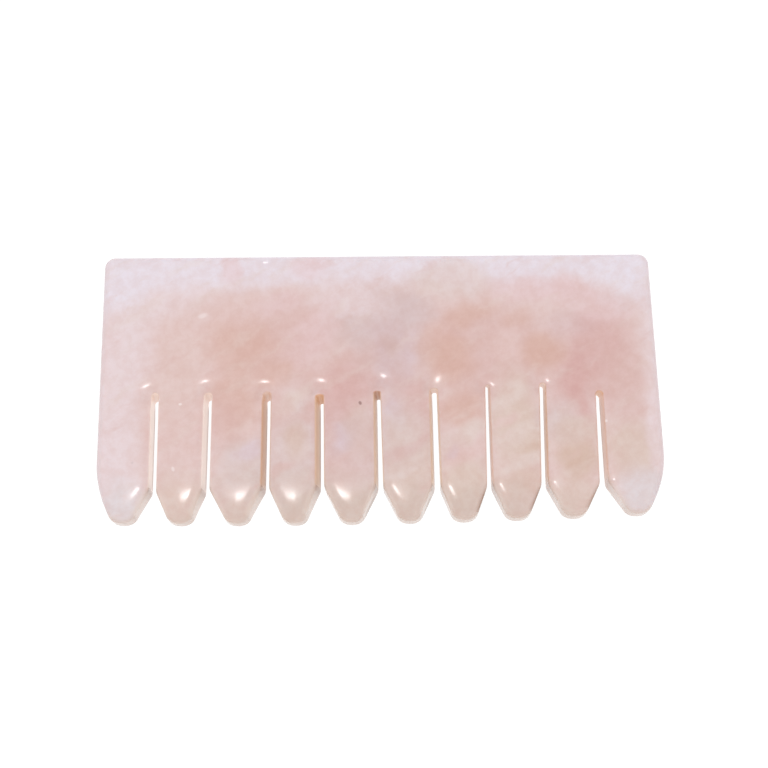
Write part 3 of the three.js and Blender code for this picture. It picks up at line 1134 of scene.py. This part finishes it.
    def stretches(self) -> Iterator[Stretch]:
        """Goes once round the comb, with the stone on the left.

        Yields:
            Each stretch of the outline.
        """
        ends = self.half_length - self.spine_corner
        back = line(self.spine(ends), self.spine(-ends), self.straight_step)
        yield Stretch(back, self.outer_edge, EdgeTone.SPINE)
        low = self.spine(-ends)[1] - self.spine_corner
        left_corner = arc((-ends, low), self.spine_corner, 90, 180, self.curve_step)
        yield Stretch(left_corner, self.outer_edge, EdgeTone.END)
        for number in range(len(self.cuts) + 1):
            middle = self.tooth_middle(number)
            x, y = self.tip(middle)
            left = (x - self.point_half_width, y + self.point_height)
            right = (x + self.point_half_width, y + self.point_height)
            yield from self.left_side(number, left)
            first = bend(left, (x - self.point_corner, y), (x, y), self.curve_step)
            yield Stretch(first, self.point_edge, EdgeTone.POINT)
            lean = self.cuts[number].lean * self.point_slant if number < len(self.cuts) else 0.0
            second = bend((x, y), (x + self.point_corner, y), right, self.curve_step)
            slant = ramp((0.0, 0.0), (-lean, 0.0), len(second))
            yield Stretch(second, self.point_edge, EdgeTone.POINT, slant)
            yield from self.right_side(number, right)
        low = self.spine(ends)[1] - self.spine_corner
        right_corner = arc((ends, low), self.spine_corner, 0, 90, self.curve_step)
        yield Stretch(right_corner, self.outer_edge, EdgeTone.END)


def softened(values: np.ndarray, passes: int) -> np.ndarray:
    """Evens out values that run round a closed outline.

    Args:
        values: one row for each point.
        passes: how often each is averaged with its neighbours.

    Returns:
        The softened values.
    """
    for _ in range(passes):
        values = (np.roll(values, 1, 0) + 2 * values + np.roll(values, -1, 0)) / 4
    return values


@dataclass
class Outline:
    """The finished outline, point by point, with each stretch's edge blended into the next."""

    plan: CombPlan
    direction_passes: int = 2
    rim_passes: int = 8
    edge_passes: int = 4
    points: np.ndarray = field(init=False)
    inward: np.ndarray = field(init=False)
    rim: np.ndarray = field(init=False)
    lean: np.ndarray = field(init=False)
    tone: np.ndarray = field(init=False)
    amount: np.ndarray = field(init=False)
    wall: np.ndarray = field(init=False)
    glow: np.ndarray = field(init=False)
    foot: np.ndarray = field(init=False)

    def __post_init__(self) -> None:
        """Joins the plan's stretches and works out the edge at each point."""
        stretches = list(self.plan.stretches())
        counts = [len(s.points) for s in stretches]
        self.points = np.concatenate([s.points for s in stretches])
        along = np.roll(self.points, -1, 0) - np.roll(self.points, 1, 0)
        along /= np.linalg.norm(along, axis=1, keepdims=True)
        inward = softened(np.stack([-along[:, 1], along[:, 0]], 1), self.direction_passes)
        self.inward = inward / np.linalg.norm(inward, axis=1, keepdims=True)

        def spread(values: Sequence, passes: int = self.edge_passes) -> np.ndarray:
            """Gives each point its stretch's value, evened out where two stretches meet."""
            return softened(np.repeat(np.array(values, float), counts, axis=0), passes)

        self.rim = spread([s.edge.rim for s in stretches], self.rim_passes)
        self.lean = softened(np.concatenate([s.slant for s in stretches]), self.edge_passes)
        self.tone = spread([stone_colour(s.tone) for s in stretches])
        self.amount = spread([s.edge.amount for s in stretches])
        self.wall = spread([float(s.glow > 0) for s in stretches])
        self.glow = spread([s.glow for s in stretches])
        self.foot = spread([s.foot for s in stretches])


@dataclass
class FlatPlan:
    """The comb as a flat sheet: rings inside the outline, and a fine net in the middle."""

    outline: Outline
    wall_steps: int = 3
    round_steps: int = 6
    ring_depth: float = 1.25
    ring_steps: int = 3
    net: float = 0.7
    fine_net: float = 0.45
    fine_net_height: float = 9.0
    net_margin: float = 0.28
    lean_reach: float = 2.5
    dish_slope: float = 0.34
    dish_softness: float = 2.1
    dish_margin: float = 1.6
    edge_reach: float = 1.6  # how far in an edge's own colour reaches, in rims
    wall_reach_loss: float = 0.9  # how much less that is on the slots' walls
    wall_fade: float = 2.0
    tone_fade: float = 1.5
    batch: int = 1000  # points looked at together, to save memory
    tolerance: float = 1e-6

    def rings(self) -> tuple[np.ndarray, np.ndarray, np.ndarray]:
        """Works out the rings that follow the outline.

        Returns:
            For each ring, its points, how far inside the outline they are, and how far up the wall
            they are, from 0 at mid thickness to 1.
        """
        o = self.outline
        depths = [np.zeros(len(o.points))] * self.wall_steps
        rises = [step / self.wall_steps for step in range(self.wall_steps)]
        for step in range(self.round_steps + 1):
            depths.append(o.rim * (1 - math.cos(math.pi / 2 * step / self.round_steps)))
            rises.append(1.0)
        for step in range(1, self.ring_steps + 1):
            depths.append(o.rim + (self.ring_depth - o.rim) * step / self.ring_steps)
            rises.append(1.0)
        inset = np.array(depths)
        points = o.points[None] + o.inward[None] * inset[:, :, None]
        return points, inset, np.array(rises)

    def nearest(self, points: np.ndarray) -> tuple[np.ndarray, np.ndarray, np.ndarray]:
        """Finds the outline's nearest point to each of many points.

        Args:
            points: the points, one to a row.

        Returns:
            The number of the nearest outline point, how far it is, and whether the point is inside.
        """
        o = self.outline
        which = np.empty(len(points), int)
        for start in range(0, len(points), self.batch):
            part = points[start : start + self.batch]
            apart = ((part[:, None] - o.points[None]) ** 2).sum(2)
            which[start : start + self.batch] = apart.argmin(1)
        away = points - o.points[which]
        inside = (away * o.inward[which]).sum(1) > 0
        return which, np.linalg.norm(away, axis=1), inside

    @staticmethod
    def is_within(points: np.ndarray, ring: np.ndarray) -> np.ndarray:
        """Says which points lie within a closed ring.

        Args:
            points: the points, one to a row.
            ring: the ring's corners in order.

        Returns:
            True for each point that is inside.
        """
        after = np.roll(ring, -1, 0)
        inside = np.zeros(len(points), bool)
        for (x, y), (next_x, next_y) in zip(ring, after):
            if y == next_y:
                continue
            spans = (points[:, 1] > y) != (points[:, 1] > next_y)
            crossing = x + (points[:, 1] - y) * (next_x - x) / (next_y - y)
            inside ^= spans & (points[:, 0] < crossing)
        return inside

    def dished(self, points: np.ndarray) -> np.ndarray:
        """Works out how deep the front is dished round the closed ends of the saw cuts.

        Args:
            points: the points, one to a row.

        Returns:
            The depths.
        """
        depth = np.zeros(len(points))
        for cut in self.outline.plan.cuts:
            within = cut.dish.radius - np.linalg.norm(points - (cut.dish.x, cut.dish.y), axis=1)
            soft = np.hypot(within, self.dish_softness)
            depth += self.dish_slope * (within + soft) / 2
            depth -= self.dish_slope * self.dish_softness**2 / (4 * soft)
        return np.maximum(depth, 0)

    def swelling(self, points: np.ndarray) -> np.ndarray:
        """Returns how much the face swells at each point, from 0 in the dishes to 1 away from them."""
        swell = np.ones(len(points))
        for cut in self.outline.plan.cuts:
            away = np.linalg.norm(points - (cut.dish.x, cut.dish.y), axis=1) - cut.dish.radius
            swell = np.minimum(swell, np.clip(away / self.dish_margin, 0, 1))
        return eased(swell)

    def tip_height(self, points: np.ndarray) -> np.ndarray:
        """Returns how far each point is above the line of the teeth's lowest spots."""
        return points[:, 1] - self.outline.plan.tip(points[:, 0])[1]

    def net_points(self) -> tuple[np.ndarray, np.ndarray, np.ndarray]:
        """Makes the points of the net inside the rings.

        Returns:
            The points, the outline point nearest to each, and how far inside the outline each is.
        """
        low, high = self.outline.points.min(0), self.outline.points.max(0)
        kept = []
        for size, fine in ((self.net, False), (self.fine_net, True)):
            rows = np.arange(low[1], high[1], size * math.sqrt(3) / 2)
            columns = np.arange(low[0], high[0], size)
            x, y = np.meshgrid(columns, rows)
            x = x + (np.arange(len(rows)) % 2)[:, None] * size / 2
            points = np.stack([x.ravel(), y.ravel()], 1)
            is_low = self.tip_height(points) < self.fine_net_height
            points = points[is_low == fine]
            kept.append(points)
        points = np.concatenate(kept)
        which, inset, inside = self.nearest(points)
        good = inside & (inset > self.ring_depth + self.net_margin)
        return points[good], which[good], inset[good]

    def triangles(self, inner: np.ndarray, net: np.ndarray) -> np.ndarray:
        """Joins the innermost ring and the net with triangles.

        Args:
            inner: the innermost ring's points.
            net: the net's points.

        Returns:
            The three corners of each triangle, counted through the ring and then the net.
        """
        corners = np.concatenate([inner, net])
        border = [(i, (i + 1) % len(inner)) for i in range(len(inner))]
        made = delaunay_2d_cdt([Vector(p) for p in corners], border, [], 1, self.tolerance, True)
        if len(made[0]) != len(corners):
            raise ValueError("the net added or lost points")
        number = np.array([sources[0] for sources in made[3]])
        triangles = number[np.array(made[2])]
        return triangles[self.is_within(corners[triangles].mean(1), inner)]

    def mesh(self, name: str, painted: Callable[[np.ndarray], np.ndarray]) -> bpy.types.Mesh:
        """Makes the flat mesh, with what Geometry Nodes need stored at each point.

        Args:
            name: the mesh's name.
            painted: finds the stone's colour at many points.

        Returns:
            The mesh, in metres.
        """
        o = self.outline
        count = len(o.points)
        ring_points, ring_inset, rises = self.rings()
        ring_count = len(rises)
        net, near, net_inset = self.net_points()

        faces = []
        for ring in range(ring_count - 1):
            for i in range(count):
                here, after = ring * count + i, ring * count + (i + 1) % count
                faces.append((here, after, after + count, here + count))
        first = (ring_count - 1) * count
        for triangle in self.triangles(ring_points[-1], net):
            faces.append(tuple(int(i) + first for i in triangle))

        points = np.concatenate([ring_points.reshape(-1, 2), net])
        flat = bpy.data.meshes.new(name)
        where = np.concatenate([points, np.zeros((len(points), 1))], 1) * MM
        flat.from_pydata([tuple(p) for p in where], [], faces)

        which = np.concatenate([np.tile(np.arange(count), ring_count), near])
        inset = np.concatenate([ring_inset.ravel(), net_inset])
        rise = np.concatenate([np.repeat(rises, count), np.ones(len(net))])
        fade = eased(np.clip(1 - inset / self.lean_reach, 0, 1))
        reach = (self.edge_reach - self.wall_reach_loss * o.wall[which]) * o.rim[which]
        edge = np.clip(1 - inset / reach, 0, 1)
        self.store(flat, "inset", inset * MM)
        self.store(flat, "rim", o.rim[which] * MM)
        self.store(flat, "rise", rise)
        self.store(flat, "tip_height", self.tip_height(points) * MM)
        self.store(flat, "dish", self.dished(points) * MM)
        self.store(flat, "swelling", self.swelling(points))
        self.store(flat, "lean_x", o.lean[which, 0] * fade * MM)
        self.store(flat, "lean_y", o.lean[which, 1] * fade * MM)
        self.store(flat, "wall", o.wall[which] * edge**self.wall_fade)
        # glow is painted light on the walls, and foot the height of their painted shade
        self.store(flat, "glow", o.glow[which] * edge**self.wall_fade)
        self.store(flat, "foot", o.foot[which])
        self.store(flat, "edge_amount", o.amount[which] * edge**self.tone_fade)
        self.store_colour(flat, "edge_tone", o.tone[which])
        deep = np.concatenate([points, np.full((len(points), 1), MID_HEIGHT)], 1)
        self.store_colour(flat, "stone", painted(deep))
        return flat

    @staticmethod
    def store(mesh: bpy.types.Mesh, name: str, values: np.ndarray) -> None:
        """Stores a number at each point of a mesh."""
        mesh.attributes.new(name, "FLOAT", "POINT").data.foreach_set("value", values.astype(np.float32))

    @staticmethod
    def store_colour(mesh: bpy.types.Mesh, name: str, values: np.ndarray) -> None:
        """Stores a colour at each point of a mesh."""
        opaque = np.concatenate([values, np.ones((len(values), 1))], 1).astype(np.float32)
        mesh.attributes.new(name, "FLOAT_COLOR", "POINT").data.foreach_set("color", opaque.ravel())


# ---------------------------------------------------------------------------------------------------
# The comb
# ---------------------------------------------------------------------------------------------------


class Face(Enum):
    """The two faces of the slab."""

    FRONT = 1
    BACK = -1


@dataclass
class SlabTree:
    """Geometry Nodes that raise a flat plan into a slab whose faces swell, round off and are ground.

    The sizes are the tree's named inputs, in metres where they are lengths.
    """

    sizes: dict[str, float]
    name: str = "polished_slab"
    back_dish: float = 0.5
    weld: float = 0.0005

    def attribute(self, bench: Bench, name: str) -> Value:
        """Reads a number stored on the flat plan.

        Args:
            bench: the tree's bench.
            name: the attribute's name.

        Returns:
            Its value at each point.
        """
        node = bench.node("GeometryNodeInputNamedAttribute", {"data_type": "FLOAT"}, {"Name": name})
        return Value(bench, node.outputs["Attribute"])

    def height(self, bench: Bench, size: dict[str, Value], face: Face) -> Value:
        """Adds the nodes for the height of one face above mid thickness.

        Args:
            bench: the tree's bench.
            size: the tree's inputs.
            face: the face.

        Returns:
            The height at each point.
        """
        inset = self.attribute(bench, "inset")
        rim = self.attribute(bench, "rim")
        tip_height = self.attribute(bench, "tip_height")
        edge = 1 - (inset / rim).at_most(1.0)
        rounding = rim * (1 - (1 - edge * edge).root())
        swell = 1 - (inset / size["Pillow Reach"]).at_most(1.0)
        pillow = size["Pillow Depth"] * swell * swell
        if face is Face.FRONT:
            pillow = pillow * self.attribute(bench, "swelling")
        slope = size["Front Grind"] if face is Face.FRONT else size["Back Grind"]
        below = size["Grind Height"] - tip_height
        soft = size["Grind Softness"]
        grind = slope * (below + (below * below + soft * soft).root()) * 0.5
        spot = bench.node("GeometryNodeInputPosition").outputs[0]
        spot = bench.vector("DIVIDE", spot, size["Ripple Size"].socket).outputs[0]
        lumps = bench.node(
            "ShaderNodeTexNoise",
            {"noise_dimensions": "4D"},
            {"Vector": spot, "W": size["Seed"] * face.value, "Scale": 1.0, "Detail": 1.0},
        )
        ripple = (Value(bench, lumps.outputs[0]) - NOISE_MIDDLE) * size["Ripple Height"] * (1 - swell)
        crown = 1 - (inset / size["Crown Reach"]).at_most(1.0)
        pillow = pillow + size["Crown Depth"] * crown * crown
        dish = self.attribute(bench, "dish") * (1.0 if face is Face.FRONT else self.back_dish)
        full = size["Thickness"] * 0.5 - rounding - pillow - grind - dish + ripple
        return full * self.attribute(bench, "rise")

    def build(self) -> bpy.types.NodeTree:
        """Builds the tree.

        Returns:
            The node tree.
        """
        tree = bpy.data.node_groups.new(self.name, "GeometryNodeTree")
        sockets = tree.interface
        sockets.new_socket("Geometry", in_out="INPUT", socket_type="NodeSocketGeometry")
        for name, value in self.sizes.items():
            sockets.new_socket(name, in_out="INPUT", socket_type="NodeSocketFloat").default_value = value
        sockets.new_socket("Stone", in_out="INPUT", socket_type="NodeSocketMaterial")
        sockets.new_socket("Geometry", in_out="OUTPUT", socket_type="NodeSocketGeometry")
        bench = Bench(tree)
        given = bench.node("NodeGroupInput")
        size = {name: Value(bench, given.outputs[name]) for name in self.sizes}
        sheets = []
        for face in Face:
            height = self.height(bench, size, face)
            share = height * face.value / size["Thickness"] + 0.5
            offset = bench.node(
                "ShaderNodeCombineXYZ",
                None,
                {
                    "X": self.attribute(bench, "lean_x") * share,
                    "Y": self.attribute(bench, "lean_y") * share,
                    "Z": size["Thickness"] * 0.5 + height * face.value,
                },
            )
            placed = bench.node(
                "GeometryNodeSetPosition",
                None,
                {"Geometry": given.outputs["Geometry"], "Offset": offset.outputs[0]},
            ).outputs[0]
            if face is Face.BACK:
                placed = bench.node("GeometryNodeFlipFaces", None, {"Mesh": placed}).outputs[0]
            sheets.append(placed)
        joined = bench.node("GeometryNodeJoinGeometry")
        for sheet in sheets:
            tree.links.new(sheet, joined.inputs[0])
        welded = bench.node(
            "GeometryNodeMergeByDistance", None, {"Geometry": joined.outputs[0], "Distance": self.weld * MM}
        )
        smooth = bench.node("GeometryNodeSetShadeSmooth", None, {"Geometry": welded.outputs[0]})
        real = bench.node("GeometryNodeRealizeInstances", None, {"Geometry": smooth.outputs[0]})
        dressed = bench.node(
            "GeometryNodeSetMaterial",
            None,
            {"Geometry": real.outputs[0], "Material": given.outputs["Stone"]},
        )
        bench.node("NodeGroupOutput", None, {0: dressed.outputs[0]})
        return tree


@dataclass
class StoneComb:
    """The comb: one slab of rose quartz with ten ground points."""

    node: str = "comb"
    piece_name: str = "quartz_comb"
    slot: str = "rose_quartz"
    plan: CombPlan = field(default_factory=CombPlan)
    finish: RoseQuartz = field(default_factory=RoseQuartz)
    pillow_depth: float = 0.27
    pillow_reach: float = 1.9
    crown_depth: float = 0.19
    crown_reach: float = 4.6
    grind_height: float = 3.35
    grind_softness: float = 3.1
    front_grind: float = 0.26
    back_grind: float = 0.16
    ripple_height: float = 0.02
    ripple_size: float = 9.0
    seed: float = 4.0

    def sizes(self) -> dict[str, float]:
        """Returns the value of each of the tree's inputs, in metres where it is a length."""
        low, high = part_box(self.node)
        return {
            "Thickness": high.z - low.z,
            "Pillow Depth": self.pillow_depth * MM,
            "Pillow Reach": self.pillow_reach * MM,
            "Crown Depth": self.crown_depth * MM,
            "Crown Reach": self.crown_reach * MM,
            "Grind Height": self.grind_height * MM,
            "Grind Softness": self.grind_softness * MM,
            "Front Grind": self.front_grind,
            "Back Grind": self.back_grind,
            "Ripple Height": self.ripple_height * MM,
            "Ripple Size": self.ripple_size * MM,
            "Seed": self.seed,
        }

    def slab(self, stone: bpy.types.Material) -> bpy.types.Mesh:
        """Raises the flat plan into the comb's slab.

        Args:
            stone: the slab's material.

        Returns:
            The slab's mesh.
        """
        flat = FlatPlan(Outline(self.plan)).mesh(self.piece_name + "_plan", self.finish.painted)
        draft = bpy.data.objects.new(self.piece_name + "_draft", flat)
        bpy.context.scene.collection.objects.link(draft)
        sizes = self.sizes()
        modifier = draft.modifiers.new("slab", "NODES")
        modifier.node_group = SlabTree(sizes).build()
        for item in modifier.node_group.interface.items_tree:
            if item.in_out != "INPUT":
                continue
            if item.name in sizes:
                modifier[item.identifier] = sizes[item.name]
            elif item.name == "Stone":
                modifier[item.identifier] = stone
        graph = bpy.context.evaluated_depsgraph_get()
        solid = bpy.data.meshes.new_from_object(draft.evaluated_get(graph), depsgraph=graph)
        draft.modifiers.clear()
        bpy.data.objects.remove(draft)
        bpy.data.meshes.remove(flat)
        solid.name = self.piece_name
        if not solid.materials:
            solid.materials.append(stone)
        return solid

    def build(self) -> bpy.types.Object:
        """Makes the comb, dresses it and joins it to the frame.

        Returns:
            The finished piece.
        """
        solid = self.slab(self.finish.make())
        piece = bpy.data.objects.new(self.piece_name, solid)
        bpy.context.scene.collection.objects.link(piece)
        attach(piece, "root")
        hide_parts(self.node)
        LOG.info("%s: %d points, %d faces", piece.name, len(solid.vertices), len(solid.polygons))
        return piece


# ---------------------------------------------------------------------------------------------------
# The studio
# ---------------------------------------------------------------------------------------------------


@dataclass
class Softbox:
    """A rectangular lamp that faces the comb."""

    name: str
    place: tuple[float, float, float]
    width: float
    height: float
    radiance: float
    aim: tuple[float, float, float] = (0.0, 0.0, MID_HEIGHT)

    def build(self) -> None:
        """Adds the lamp, with the power that gives its face the wanted brightness."""
        lamp = bpy.data.lights.new(self.name, "AREA")
        lamp.shape = "RECTANGLE"
        lamp.size = self.width * MM
        lamp.size_y = self.height * MM
        lamp.energy = self.radiance * math.pi * lamp.size * lamp.size_y
        holder = bpy.data.objects.new(self.name, lamp)
        holder.location = Vector(self.place) * MM
        holder.rotation_euler = (Vector(self.aim) - Vector(self.place)).to_track_quat("-Z", "Y").to_euler()
        bpy.context.scene.collection.objects.link(holder)


@dataclass
class Studio:
    """A pale floor, soft light from all round, one softbox overhead, and the camera."""

    floor: PlainFinish = PlainFinish("studio_floor", (0.12, 0.12, 0.12), 0.9, 0.95)
    floor_size: float = 4000.0
    floor_gap: float = 0.05
    sky: float = 0.99
    camera_place: tuple[float, float, float] = (2.17, -71.43, 236.01)
    camera_aim: tuple[float, float, float] = (0.99, 0.31, MID_HEIGHT)
    camera_roll: float = -2.2
    lens: float = 63.28
    clip_start: float = 10.0
    softboxes: tuple[Softbox, ...] = (
        Softbox("overhead_softbox", (-58.0, -10.0, 400.0), 28.0, 28.0, 58.0),
    )

    def build(self) -> None:
        """Adds the floor, the lights and the camera."""
        half = self.floor_size / 2 * MM
        drop = -self.floor_gap * MM
        mesh = bpy.data.meshes.new("floor")
        corners = [(-half, -half, drop), (half, -half, drop), (half, half, drop), (-half, half, drop)]
        mesh.from_pydata(corners, [], [(0, 1, 2, 3)])
        mesh.materials.append(self.floor.make())
        floor = bpy.data.objects.new("floor", mesh)
        bpy.context.scene.collection.objects.link(floor)
        floor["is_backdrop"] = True

        world = bpy.data.worlds.new("studio_sky")
        world.use_nodes = True
        background = world.node_tree.nodes["Background"]
        background.inputs["Color"].default_value = rgba(WHITE)
        background.inputs["Strength"].default_value = self.sky
        bpy.context.scene.world = world
        bpy.context.scene.view_settings.view_transform = "Standard"
        for softbox in self.softboxes:
            softbox.build()
        self.add_camera()

    def add_camera(self) -> None:
        """Adds the camera above the teeth's side of the comb."""
        data = bpy.data.cameras.new("camera")
        data.lens = self.lens
        data.clip_start = self.clip_start * MM
        camera = bpy.data.objects.new("camera", data)
        look = (Vector(self.camera_aim) - Vector(self.camera_place)).to_track_quat("-Z", "Y")
        roll = Euler((0.0, 0.0, math.radians(self.camera_roll))).to_matrix().to_4x4()
        place = Matrix.Translation(Vector(self.camera_place) * MM)
        camera.matrix_world = place @ look.to_matrix().to_4x4() @ roll
        bpy.context.scene.collection.objects.link(camera)
        bpy.context.scene.camera = camera


def write_sizes() -> None:
    """Puts the CAD model's box and the visual model's box side by side, in plain lists that are not kept."""
    boxes = {"cad": CAD_BOX, "visual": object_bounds()}
    plain = {name: [list(corner) for corner in box] for name, box in boxes.items()}


def main() -> None:
    """Builds the comb and the studio around it."""
    logging.basicConfig(level=logging.INFO, format="%(name)s: %(message)s")
    StoneComb().build()
    Studio().build()
    write_sizes()


if __name__ == "__main__":
    main()
